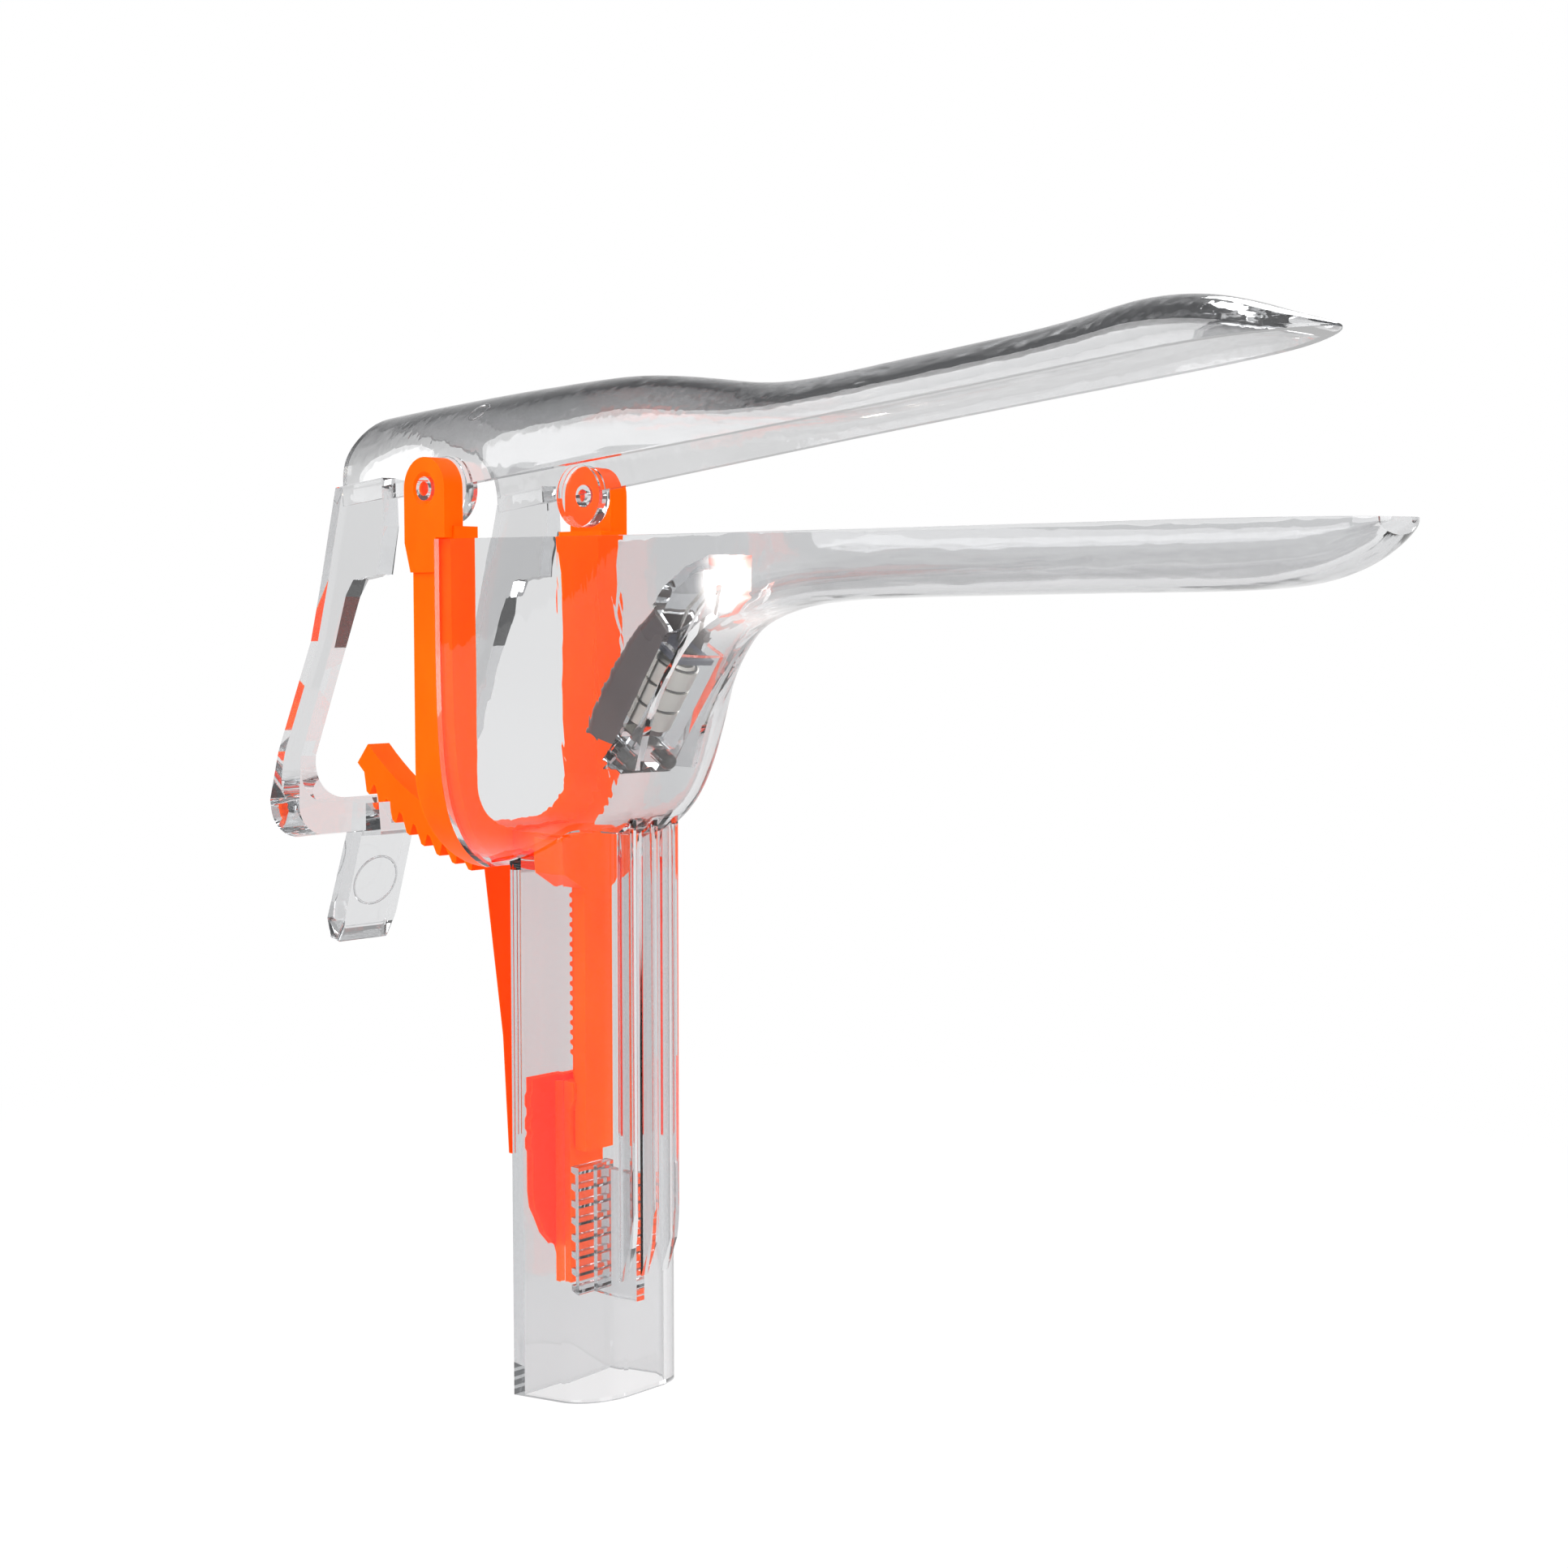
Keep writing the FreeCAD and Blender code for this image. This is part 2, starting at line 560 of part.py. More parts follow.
def yoke_ears(body):
    """Two ears with round tops, standing on the arms' shoulders."""
    step = "-(rim_drop - run_gap)"
    foot = "-(rim_drop + 5.5)"
    side = outline(body, "ear_side", "XZ_Plane", [
        ("-ear_radius", "ear_radius"), ("ear_radius", "ear_radius"), ("ear_radius", step),
        ("apron_rear - run_gap", step), ("apron_rear - run_gap", foot), ("-arm_rear", foot),
        ("-ear_radius", "-(rim_drop + 0.5)")])
    extrude(body, "ears", side, "2 * ear_half", both=True)
    above = "ear_radius + 2"
    gap_side = outline(body, "ear_gap_side", "XZ_Plane", [
        ("-ear_radius - 2", above), ("ear_radius + 2", above),
        ("ear_radius + 2", "-(rim_drop - shoulder_rise)"),
        ("-ear_radius - 2", "-(rim_drop - shoulder_rise)")])
    extrude(body, "ear_gap", gap_side, "2 * (ear_half - ear_thick)", kind="Pocket", both=True)
    low_side = outline(body, "arm_gap_side", "XZ_Plane", [
        ("-ear_radius - 2", "-(rim_drop - shoulder_rise)"),
        ("ear_radius + 2", "-(rim_drop - shoulder_rise)"),
        ("ear_radius + 2", "-(rim_drop + 6.5)"), ("-ear_radius - 2", "-(rim_drop + 6.5)")])
    extrude(body, "arm_gap", low_side, "2 * arm_inner", kind="Pocket", both=True)
    dress(body, "ear_tops", "ear_radius - 0.02",
          lambda edge, middle: along(edge, ACROSS) and middle.z > number("ear_radius") - 0.01)
    hole = disc(body, "ear_hole_side", "XZ_Plane", ("0", "0"), "pin_radius + pin_gap")
    extrude(body, "ear_holes", hole, "3 * ear_half", kind="Pocket", both=True)
    outer_face = number("ear_half")
    bore = number("pin_radius + pin_gap")

    def mouth(edge, middle):
        round_edge = edge.Curve.TypeId == "Part::GeomCircle"
        return round_edge and abs(edge.Curve.Radius - bore) < 0.01 and abs(
            abs(middle.y) - outer_face) < 0.01
    dress(body, "ear_sinks", "ear_sink", mouth, kind="Chamfer")


def yoke_ratchet(body):
    """Curved arm about the pivot axis, with saw teeth on its outer side."""
    low = "-ratchet_root"
    section = outline(body, "ratchet_section", "YZ_Plane", [
        ("-ratchet_half", "-ratchet_inner"), ("ratchet_half", "-ratchet_inner"),
        ("ratchet_half", low), ("-ratchet_half", low)])
    turn(body, "ratchet_arm", section, "ratchet_end")
    lead = "tooth_first + tooth_pitch * 0.92"
    root = "(ratchet_root - 0.4)"
    tooth = outline(body, "ratchet_tooth_side", "XZ_Plane", [
        (f"-{root} * sin(tooth_first)", f"-{root} * cos(tooth_first)"),
        ("-ratchet_tip * sin(tooth_first)", "-ratchet_tip * cos(tooth_first)"),
        ("-ratchet_tip * sin(tooth_first + 0.8)", "-ratchet_tip * cos(tooth_first + 0.8)"),
        (f"-{root} * sin({lead})", f"-{root} * cos({lead})")])
    first = extrude(body, "ratchet_tooth", tooth, "2 * ratchet_half", both=True)
    ring = body.newObject("PartDesign::PolarPattern", "ratchet_teeth")
    ring.Originals = [first]
    ring.Axis = (plane(body, "Y_Axis"), [""])
    bind(ring, Angle="tooth_pitch * (tooth_count - 1)", Occurrences="tooth_count")
    body.Tip = ring
    doc.recompute()
    return ring


def yoke_stem(body):
    """Web from the bow into the handle, and the stem with its rack and latch leaf."""
    web_low = "-(bow_outer - 2.6)"
    web = outline(body, "web_side", "XZ_Plane", [
        ("arm_front - 1", "-(bow_inner + 0.6)"), ("stem_front", "-(bow_inner + 0.6)"),
        ("stem_front", web_low), ("arm_front - 1", web_low)])
    extrude(body, "web", web, "2 * (handle_half - wall - 3.6)", both=True)
    gusset = outline(body, "gusset_front", "YZ_Plane", [
        ("-(handle_half - wall - 1.6)", "-(bow_inner + 1)"),
        ("handle_half - wall - 1.6", "-(bow_inner + 1)"),
        ("handle_half - wall - 2.2", "-(bow_outer + 1)"), ("stem_half", "-(rack_top - 1)"),
        ("-stem_half", "-(rack_top - 1)"), ("-(handle_half - wall - 2.2)", "-(bow_outer + 1)")],
        offset="rack_rear - rack_tooth")
    extrude(body, "gusset", gusset, "stem_front - rack_rear + rack_tooth")
    slab = outline(body, "stem_side", "XZ_Plane", [
        ("stem_rear", "-(bow_inner + 1)"), ("stem_front", "-(bow_inner + 1)"),
        ("stem_front", "-stem_low"), ("stem_rear", "-stem_low")])
    extrude(body, "stem", slab, "2 * stem_half", both=True)
    rib = outline(body, "rack_side", "XZ_Plane", [
        ("rack_rear", "-(rack_top - 2)"), ("stem_rear + 0.5", "-(rack_top - 2)"),
        ("stem_rear + 0.5", "-(latch_top + 1)"), ("rack_rear", "-(latch_top + 1)")])
    extrude(body, "rack", rib, "2 * rack_half", both=True)
    tooth = outline(body, "rack_tooth_side", "XZ_Plane", [
        ("rack_rear + 0.3", "-rack_top"), ("rack_rear - rack_tooth", "-(rack_top + 0.4)"),
        ("rack_rear - rack_tooth", "-(rack_top + 0.9)"),
        ("rack_rear + 0.3", "-(rack_top + 1.3)")])
    first = extrude(body, "rack_tooth", tooth, "2 * rack_half", both=True)
    row = row_of(body, "rack_teeth", [first], "Z_Axis", "rack_pitch * (rack_count - 1)",
                 "rack_count")
    row.Reversed = True
    doc.recompute()


def yoke_latch(body):
    """Springy leaf behind the ladder, hung from the rack; its toe points at the rungs."""
    front = "ladder_rear - run_gap"
    rear = "ladder_rear - run_gap - 0.4 - latch_thick"
    leaf = outline(body, "latch_side", "XZ_Plane", [
        (rear, "-latch_top"), ("stem_rear + 0.4", "-latch_top"),
        ("stem_rear + 0.4", "-(latch_top + 3)"), (rear + " + latch_thick", "-(latch_top + 5)"),
        (rear + " + latch_thick", "-(latch_low - 2.2)"), (front, "-(latch_low - 1.4)"),
        (front, "-(latch_low - 0.6)"), (rear + " + latch_thick", "-latch_low"),
        (rear, "-latch_low")])
    extrude(body, "latch", leaf, "2 * latch_half", both=True)


def build_yoke():
    body = new_body("yoke")
    yoke_flange(body)
    yoke_ears(body)
    yoke_ratchet(body)
    yoke_stem(body)
    yoke_latch(body)
    return node(joined("MultiFuse", "yoke_all", [body, bow_body()]), "yoke")


build_yoke()


# Upper blade, drawn with its edges level and then opened about the pivot

def upper_curves():
    """Half width and crown height of the upper blade, along X from behind the pivot."""
    rear, reach = -number("bell_rear"), number("upper_reach")
    bell, half = number("bell_half"), number("upper_half")
    crown, low_crown = number("bell_crown"), number("upper_crown")
    widths = [(rear, bell + 2.1), (rear + 9, bell + 1.7), (rear + 15, bell + 0.6)]
    widths += [(rear + 18, bell), (8, bell - 0.1)]
    widths += [(x, bell + (half - bell) * share) for x, share in
               [(20, 0.17), (40, 0.46), (60, 0.76), (80, 0.93), (110, 1.0)]]
    tip = [(25.6, 0.99), (15.6, 0.92), (9.6, 0.775), (5.6, 0.58), (2.1, 0.34), (0, 0.08)]
    widths += tip_points(reach, half, tip)
    crowns = [(rear, crown + 0.5), (rear + 12, crown + 0.3), (4, crown - 0.2)]
    crowns += [(x, low_crown + (crown - low_crown) * share) for x, share in
               [(15, 0.92), (27, 0.85), (38, 0.74), (45.5, 0.58), (52.6, 0.40), (58, 0.25),
                (63, 0.14), (68, 0.06), (74, 0.01), (84, 0.0), (106, 0.0)]]
    end = [(36, 1.04), (32.6, 1.08), (26.6, 1.15), (22.6, 1.12), (19, 1.05), (13.6, 0.85),
           (9.3, 0.60), (5.4, 0.37), (2, 0.18), (0, 0.05)]
    crowns += tip_points(reach, low_crown, end)
    return [smooth(points) for points in (widths, widths, crowns)]


def upper_stations():
    rear, reach = -number("bell_rear"), number("upper_reach")
    stations = [rear + step for step in (0, 4, 9, 13, 17, 22)]
    stations += [3, 9, 16, 24, 32, 38, 44, 49, 54, 59, 64, 70, 78, 90, 105]
    stations += [reach - back for back in (44, 36, 31, 27, 22, 17.5, 14, 11, 8, 5.5, 3.4, 1.6,
                                           0.6, 0)]
    return stations


def lug_body():
    """Round lugs inside the ears, with the hollow pivot pins that turn in the ears' holes."""
    body = new_body("lugs")
    inside = "ear_half - ear_thick - 0.4"
    across = disc(body, "lug_side", "XZ_Plane", ("0", "0"), "lug_radius")
    extrude(body, "lug", across, f"2 * ({inside})", both=True)
    pin = disc(body, "pin_side", "XZ_Plane", ("0", "0"), "pin_radius")
    extrude(body, "pins", pin, "2 * ear_half", both=True)
    gap = outline(body, "lug_gap_side", "XZ_Plane", [
        ("-2 * lug_radius", "-2 * lug_radius"), ("2 * lug_radius", "-2 * lug_radius"),
        ("2 * lug_radius", "2 * lug_radius"), ("-2 * lug_radius", "2 * lug_radius")])
    extrude(body, "lug_gap", gap, f"2 * ({inside} - lug_thick)", kind="Pocket", both=True)
    for side, back in (("near", False), ("far", True)):
        offset = "ear_half" if side == "near" else "-ear_half"
        bore = disc(body, side + "_bore_side", "XZ_Plane", ("0", "0"), "pin_bore", offset=offset)
        extrude(body, side + "_bore", bore, "ear_thick + lug_thick - 0.8", kind="Pocket",
                back=back)
    return body


def lever_body():
    """The lever frame behind the yoke: two arms, the cross bar and the pawl under the ratchet."""
    body = new_body("lever")
    side = outline(body, "lever_side", "XZ_Plane", [
        ("-bell_rear + 0.2", "3.5"), ("-bell_rear - 5.8", "-12"), ("-bell_rear - 10.2", "-22.5"),
        ("-bell_rear - 22.4", "-(lever_low - 15.8)"), ("-bell_rear - 26", "-(lever_low - 7.3)"),
        ("-bell_rear - 25.6", "-lever_low"), ("-bell_rear - 17.9", "-(lever_low - 0.3)"),
        ("-bell_rear - 17.2", "-(lever_low - 6.7)"), ("-bell_rear - 15.7", "-(lever_low - 14.6)"),
        ("-bell_rear + 0.6", "-15.7"), ("-bell_rear + 3.3", "-13"), ("-bell_rear + 10.2", "-12.8"),
        ("-bell_rear + 12.8", "-4.8"), ("-bell_rear + 13.2", "3.5")])
    extrude(body, "lever", side, "2 * lever_half", both=True)
    window = outline(body, "window_front", "YZ_Plane", [
        ("-(lever_half - lever_thick)", "-(lever_low - lever_bar)"),
        ("lever_half - lever_thick", "-(lever_low - lever_bar)"),
        ("lever_half - lever_thick", "12"), ("-(lever_half - lever_thick)", "12")])
    extrude(body, "window", window, "200", kind="Pocket", both=True)
    inner_half = number("lever_half - lever_thick")
    bar_top = number("-(lever_low - lever_bar)")

    def window_corner(edge, middle):
        return abs(abs(middle.y) - inner_half) < 0.01 and abs(middle.z - bar_top) < 0.01
    dress(body, "window_corners", "lever_corner - 2", window_corner)
    outer_half, bottom = number("lever_half"), number("-(lever_low - 0.5)")

    def bar_corner(edge, middle):
        return abs(abs(middle.y) - outer_half) < 0.01 and middle.z < bottom + 0.4 and abs(
            edge.tangentAt(edge.FirstParameter).z) < 0.1
    dress(body, "bar_corners", "lever_corner - 3.5", bar_corner)
    block = outline(body, "pawl_side", "XZ_Plane", [
        ("-bell_rear - 18.5", "-(lever_low - 5.3)"), ("-bell_rear - 13.5", "-(lever_low - 5.3)"),
        ("-bell_rear - 13.5", "-(lever_low + 0.7)"), ("-bell_rear - 18.5", "-(lever_low + 0.7)")])
    extrude(body, "pawl", block, "11", both=True)
    reach = "(ratchet_tip + run_gap)"
    slot = disc(body, "slot_side", "XZ_Plane", ("0", "0"), reach)
    extrude(body, "slot", slot, "2 * (ratchet_half + run_gap + 0.1)", kind="Pocket", both=True)
    return body


def tab_body():
    """The thumb tab below the cross bar."""
    body = new_body("tab")
    side = outline(body, "tab_side", "XZ_Plane", [
        ("-bell_rear - 22.3", "-(lever_low - 1.7)"), ("-bell_rear - 17.9", "-(lever_low - 1.2)"),
        ("-bell_rear - 26.3", "-(lever_low + tab_long - 2.5)"),
        ("-bell_rear - 28.5", "-(lever_low + tab_long + 0.3)"),
        ("-bell_rear - 30.9", "-(lever_low + tab_long - 0.5)"),
        ("-bell_rear - 31.4", "-(lever_low + tab_long - 3.5)")])
    extrude(body, "tab", side, "2 * tab_half", both=True)
    outer_half, bottom = number("tab_half"), number("-(lever_low + tab_long - 2.4)")

    def low_corner(edge, middle):
        return abs(abs(middle.y) - outer_half) < 0.01 and middle.z < bottom
    dress(body, "tab_edges", "0.7", low_corner)
    return body


def build_upper_blade():
    curves = upper_curves()
    outer, inner = shell_pair("upper_shell", upper_stations(), -number("bell_rear"),
                              number("edge_rise"), 1, curves, number("wall"))
    shell = cut("upper_shell_cut", outer, inner)
    pieces = [shell, lug_body(), lever_body(), tab_body()]
    blade = joined("MultiFuse", "upper_blade_all", pieces)
    blade.Placement = FreeCAD.Placement(Vector(), FreeCAD.Rotation(Vector(0, -1, 0),
                                                                   number("open_angle")))
    bind(blade, Placement__Rotation__Angle="open_angle")
    doc.recompute()
    return node(blade, "upper_blade")


build_upper_blade()


# Lamp module inside the apron: cells, board, diode, its tray and cover

def lamp_body(label):
    """Body in the module's own frame: Z runs up the stack of cells, X out to the apron's wall."""
    body = new_body(label)
    turned = FreeCAD.Rotation(Vector(0, 1, 0), number("lamp_tilt"))
    body.Placement = FreeCAD.Placement(Vector(), turned)
    bind(body, Placement__Base__x="lamp_x", Placement__Base__z="-lamp_z",
         Placement__Rotation__Angle="lamp_tilt")
    return body


def lamp_pad(body, name, corners, half, kind="Pad"):
    side = outline(body, name + "_side", "XZ_Plane", corners)
    return extrude(body, name, side, f"2 * ({half})", kind=kind, both=True)


def turned_part(label, points):
    """Solid of revolution about the module's stack axis from (radius, height) corners."""
    body = lamp_body(label)
    section = outline(body, label + "_section", "XZ_Plane", points)
    turn(body, label + "_turned", section, "360", axis="Z_Axis")
    return body


def build_cells():
    for index in range(int(number("cell_count"))):
        low = f"{index} * cell_high"
        top = f"{low} + cell_high"
        name = f"cell_{index + 1}"
        inside = "cell_radius - can_wall"
        node(turned_part(name + "_can", [
            ("0", low), ("cell_radius", low), ("cell_radius", f"{top} - cap_rise"),
            (inside, f"{top} - cap_rise"), (inside, f"{low} + can_wall"),
            ("0", f"{low} + can_wall")]), name + "_can")
        bore = f"{inside} - gasket_wall"
        node(turned_part(name + "_gasket", [
            (bore, f"{low} + can_wall"), (inside, f"{low} + can_wall"),
            (inside, f"{top} - cap_rise + 0.15"), (bore, f"{top} - cap_rise + 0.15")]),
             name + "_gasket")
        node(turned_part(name + "_cap", [
            ("0", f"{low} + can_wall"), (bore, f"{low} + can_wall"),
            (bore, f"{top} - cap_rise"), (f"{bore} - 0.35", top), ("0", top)]), name + "_cap")


def build_cover():
    """Dark cover over the back of the stack."""
    body = lamp_body("lamp_cover")
    back = "cover_back"
    lamp_pad(body, "cover", [
        ("0.7", "-5"), (f"-{back} + 0.8", "-7"), (f"-{back}", "0"), (f"-{back} - 0.2", "6"),
        (f"-{back} + 0.6", "13"), ("-4.2", "19.5"), ("1", "18"), ("0.7", "17")], "tray_half")

    def rear_corner(edge, middle):
        return abs(abs(middle.y) - number("tray_half")) < 0.01 and middle.x < -4.6 and (
            middle.z > -6.9)
    dress(body, "cover_corners", "2", rear_corner)
    wall = "cover_wall"
    lamp_pad(body, "cover_room", [
        ("3", "-9"), (f"-{back} + {wall} + 1.2", "-9"), (f"-{back} + {wall}", "0"),
        (f"-{back} - 0.2 + {wall}", "6"), (f"-{back} + 0.6 + {wall}", "13"),
        (f"-4.2 + {wall}", "21"), ("3", "21")], f"tray_half - {wall}", kind="Pocket")
    return node(body, "lamp_cover")


def build_carrier():
    """Clear tray that holds the cells, with the block for the two contact posts."""
    body = lamp_body("lamp_carrier")
    lamp_pad(body, "tray", [
        ("0.7", "-8"), ("0.7", "16"), ("4.9", "16"), ("4.9", "-8")], "tray_half")
    lamp_pad(body, "tray_room", [
        ("-2", "-3.4"), ("4.2", "-3.4"), ("4.2", "20"), ("-2", "20")],
        "tray_half - tray_wall - 0.1", kind="Pocket")
    for side, place in (("near", "-3.6"), ("far", "3.6")):
        hole = disc(body, side + "_post_hole_section", "YZ_Plane", (place, "-5.7"), "post_radius")
        extrude(body, side + "_post_hole", hole, "40", kind="Pocket", both=True)
    return node(body, "lamp_carrier")


def build_posts():
    for side, place in (("near", "-3.6"), ("far", "3.6")):
        label = "contact_post_" + side
        body = lamp_body(label)
        section = disc(body, label + "_section", "YZ_Plane", (place, "-5.7"), "post_radius",
                       offset="0.9")
        extrude(body, label + "_pad", section, "5.5")
        tip = number("6.4")
        dress(body, label + "_dome", "post_radius - 0.1",
              lambda edge, middle, tip=tip: middle.x > tip - 0.01)
        node(body, label)


def build_light_guide():
    """Clear nose from the cover to the diode, hollow for the leads."""
    body = lamp_body("light_guide")
    lamp_pad(body, "nose", [
        ("1", "18"), ("-4.2", "19.5"), ("-3.6", "23.5"), ("-1.2", "29"), ("2.2", "33.2"),
        ("5.6", "28.4"), ("5.4", "23.6")], "tray_half - 0.5")
    lamp_pad(body, "nose_room", [
        ("0.6", "17"), ("-3", "17"), ("-2.5", "23.2"), ("-0.4", "28"), ("1.4", "30.2"),
        ("4.3", "26.6"), ("4.2", "24")], "tray_half - 2.1", kind="Pocket")
    bore = new_body("diode_bore")
    hole = disc(bore, "diode_bore_section", "YZ_Plane", ("0", "-led_z"), "led_radius + 0.05",
                offset="led_x")
    extrude(bore, "diode_bore_pad", hole, "20")
    flange = disc(bore, "flange_bore_section", "YZ_Plane", ("0", "-led_z"), "led_radius + 0.4",
                  offset="led_x - 0.1")
    extrude(bore, "flange_bore_pad", flange, "0.8")
    return node(cut("light_guide_cut", body, bore), "light_guide")


def build_led():
    """Light diode: flange, barrel and domed tip, pointing along the blades."""
    body = new_body("led")
    flange = disc(body, "flange_section", "YZ_Plane", ("0", "-led_z"), "led_radius + 0.35",
                  offset="led_x")
    extrude(body, "diode_flange", flange, "0.6")
    barrel = disc(body, "barrel_section", "YZ_Plane", ("0", "-led_z"), "led_radius",
                  offset="led_x")
    extrude(body, "diode_barrel", barrel, "led_long")
    tip = number("led_x + led_long")
    dress(body, "diode_dome", "led_radius - 0.1", lambda edge, middle: middle.x > tip - 0.01)
    return node(body, "led")


def build_board():
    body = lamp_body("circuit_board")
    top = "cell_count * cell_high"
    lamp_pad(body, "board", [
        ("-3.2", f"{top} + 1.2"), ("3.8", f"{top} + 1.2"), ("3.8", f"{top} + 2.2"),
        ("-3.2", f"{top} + 2.2")], "3.8")
    node(body, "circuit_board")
    chip = lamp_body("resistor")
    lamp_pad(chip, "chip", [
        ("1.7", f"{top} + 2.2"), ("3", f"{top} + 2.2"), ("3", f"{top} + 2.8"),
        ("1.7", f"{top} + 2.8")], "1")
    node(chip, "resistor")


def build_leads():
    """The diode's two legs, up from the board."""
    away, up = "(led_x - lamp_x)", "(lamp_z - led_z)"
    base_x = f"({away} * cos(lamp_tilt) - {up} * sin(lamp_tilt))"
    base_z = f"({away} * sin(lamp_tilt) + {up} * cos(lamp_tilt))"
    board = "cell_count * cell_high + 2.2"
    legs = []
    for side, offset in (("near", "1.1"), ("far", "-1.5")):
        body = lamp_body(f"leg_{side}")
        path = outline(body, f"leg_{side}_side", "XZ_Plane", [
            ("-0.2", board), ("0.2", board), ("0.2", "22.3"),
            (f"{base_x} + 0.2 * sin(lamp_tilt)", f"{base_z} - 0.2 * cos(lamp_tilt)"),
            (f"{base_x} - 0.2 * sin(lamp_tilt)", f"{base_z} + 0.2 * cos(lamp_tilt)"),
            ("-0.2", "22.5")], offset=offset)
        extrude(body, f"leg_{side}_pad", path, "0.4")
        legs.append(body)
    return node(joined("MultiFuse", "leads_all", legs), "led_leads")


def build_contacts():
    """Bent leaf under the stack and the strip between the top cell and the board."""
    spring = lamp_body("contact_spring")
    lamp_pad(spring, "spring_leaf", [
        ("3.6", "-3.4"), ("-2.8", "-3.4"), ("-3.1", "-3.1"), ("0.6", "0"), ("1.6", "0"),
        ("-2.1", "-3.1"), ("3.6", "-3.1")], "2")
    node(spring, "contact_spring")
    top = "cell_count * cell_high"
    strip = lamp_body("contact_strip")
    lamp_pad(strip, "strip_leaf", [
        ("-2", top), ("-2.2", f"{top} + 0.25"), ("1.2", f"{top} + 1.2"), ("2.2", f"{top} + 1.2"),
        ("-1", f"{top} + 0.25"), ("-1", top)], "1.6")
    node(strip, "contact_strip")


build_cells()
build_cover()
build_carrier()
build_posts()
build_light_guide()
build_led()
build_board()
build_leads()
build_contacts()


def finish():
    doc.recompute()
    for thing in doc.Objects:
        if "Invalid" in thing.State or "Error" in thing.State:
            raise RuntimeError(f"{thing.Label} did not build: {thing.State}")
    for thing in NODES:
        shape = thing.Shape
        if shape.isNull() or not shape.isValid():
            raise RuntimeError(f"{thing.Label} has no valid shape")
    os.makedirs("parts", exist_ok=True)
    for thing in NODES:
        thing.Shape.exportStep(f"parts/{thing.Label}.step")
        box = thing.Shape.BoundBox
        print(f"{thing.Label}: {len(thing.Shape.Solids)} solid, {thing.Shape.Volume:.1f} mm3, "
              f"x {box.XMin:.1f} {box.XMax:.1f} y {box.YMin:.1f} {box.YMax:.1f} "
              f"z {box.ZMin:.1f} {box.ZMax:.1f}")


finish()
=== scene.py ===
"""Looks of the lighted bivalve speculum: materials, moulding marks, painted lamp glow, floor and
camera.

Metres, in the CAD model's frame: X to the blade tips, Y across, Z up, origin on the pivot axis.
"""
import math

import bpy
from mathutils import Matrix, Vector


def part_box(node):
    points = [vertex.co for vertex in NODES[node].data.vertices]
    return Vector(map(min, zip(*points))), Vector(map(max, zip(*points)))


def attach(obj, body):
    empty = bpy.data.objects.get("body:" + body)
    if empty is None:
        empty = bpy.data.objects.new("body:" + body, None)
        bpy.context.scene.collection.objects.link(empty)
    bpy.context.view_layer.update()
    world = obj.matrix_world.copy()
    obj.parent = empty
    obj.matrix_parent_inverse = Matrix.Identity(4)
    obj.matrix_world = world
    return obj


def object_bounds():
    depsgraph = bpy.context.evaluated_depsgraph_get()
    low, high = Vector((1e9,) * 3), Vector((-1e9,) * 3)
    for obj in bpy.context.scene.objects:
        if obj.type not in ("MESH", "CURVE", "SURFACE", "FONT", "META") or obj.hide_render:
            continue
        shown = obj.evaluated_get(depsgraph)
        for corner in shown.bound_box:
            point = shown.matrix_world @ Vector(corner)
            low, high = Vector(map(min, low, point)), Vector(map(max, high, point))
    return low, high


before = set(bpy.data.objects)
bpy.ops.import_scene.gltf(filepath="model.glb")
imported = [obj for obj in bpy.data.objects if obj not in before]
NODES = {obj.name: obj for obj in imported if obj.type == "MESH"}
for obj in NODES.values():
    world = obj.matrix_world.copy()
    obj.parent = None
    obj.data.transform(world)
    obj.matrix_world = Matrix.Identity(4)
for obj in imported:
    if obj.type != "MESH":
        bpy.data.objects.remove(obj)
CAD_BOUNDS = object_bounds()

WHITE = (1.0, 1.0, 1.0)

# Camera, solved from the photograph

AIM = Vector((0.0628, 0.0, -0.04775))
DISTANCE = 0.3786
AZIMUTH = math.radians(42.5)
ELEVATION = math.radians(4.19)
LENS = 54.97
SENSOR = 36.0

# Clear plastic: tints, and how far the painted shade darkens it where it turns away from the eye

LOWER_TINT = (0.805, 0.808, 0.815)
# Upper blade: the same clear plastic as the lower, its tint made darker as painted shade
UPPER_TINT_WITH_SHADE = (0.752, 0.754, 0.760)
TRAY_TINT = (0.92, 0.925, 0.93)
DEPTH_COLOUR = (0.60, 0.62, 0.64)
BLADE_DENSITY = 25.0
TRAY_DENSITY = 60.0
TRAY_BENDING = 1.22
PAINTED_HAZE_GLOW = 0.008
FLOW_RIPPLE = 0.05
EDGE_FROM = 0.42
EDGE_TO = 0.97
EDGE_SHADE = (0.22, 0.22, 0.23)
CLEAR_NODES = ("lower_blade", "upper_blade", "lamp_carrier", "light_guide")

# Orange plastic: green share of its colour, and the painted glow that passes for light inside it

ORANGE_GREEN = 0.112
# Guide legs and shoe: the same orange with a smaller green share, painted shade where they stand
# in shadow
SHADED_ORANGE_GREEN = 0.036
ORANGE_PAINTED_GLOW = (1.0, 0.012, 0.0)
ORANGE_PAINTED_GLOW_STRENGTH = 0.22

# Lit diode, and the painted glow that stands in for its light in the clear parts round it

LED_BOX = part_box("led")
LED_TIP = Vector((LED_BOX[1].x, 0.0, (LED_BOX[0].z + LED_BOX[1].z) / 2))
LED_STRENGTH = 45.0
LED_HOT = (1.0, 1.0, 0.98)
LED_COOL = (0.75, 0.62, 0.45)
LED_COOL_AT = 0.006
PAINTED_GLOW_COLOUR = (1.0, 0.93, 0.89)
GLOW_FROM = 0.0015
GLOW_FADE = 2.5

# Marks and orange pieces that the solids lack, in millimetres

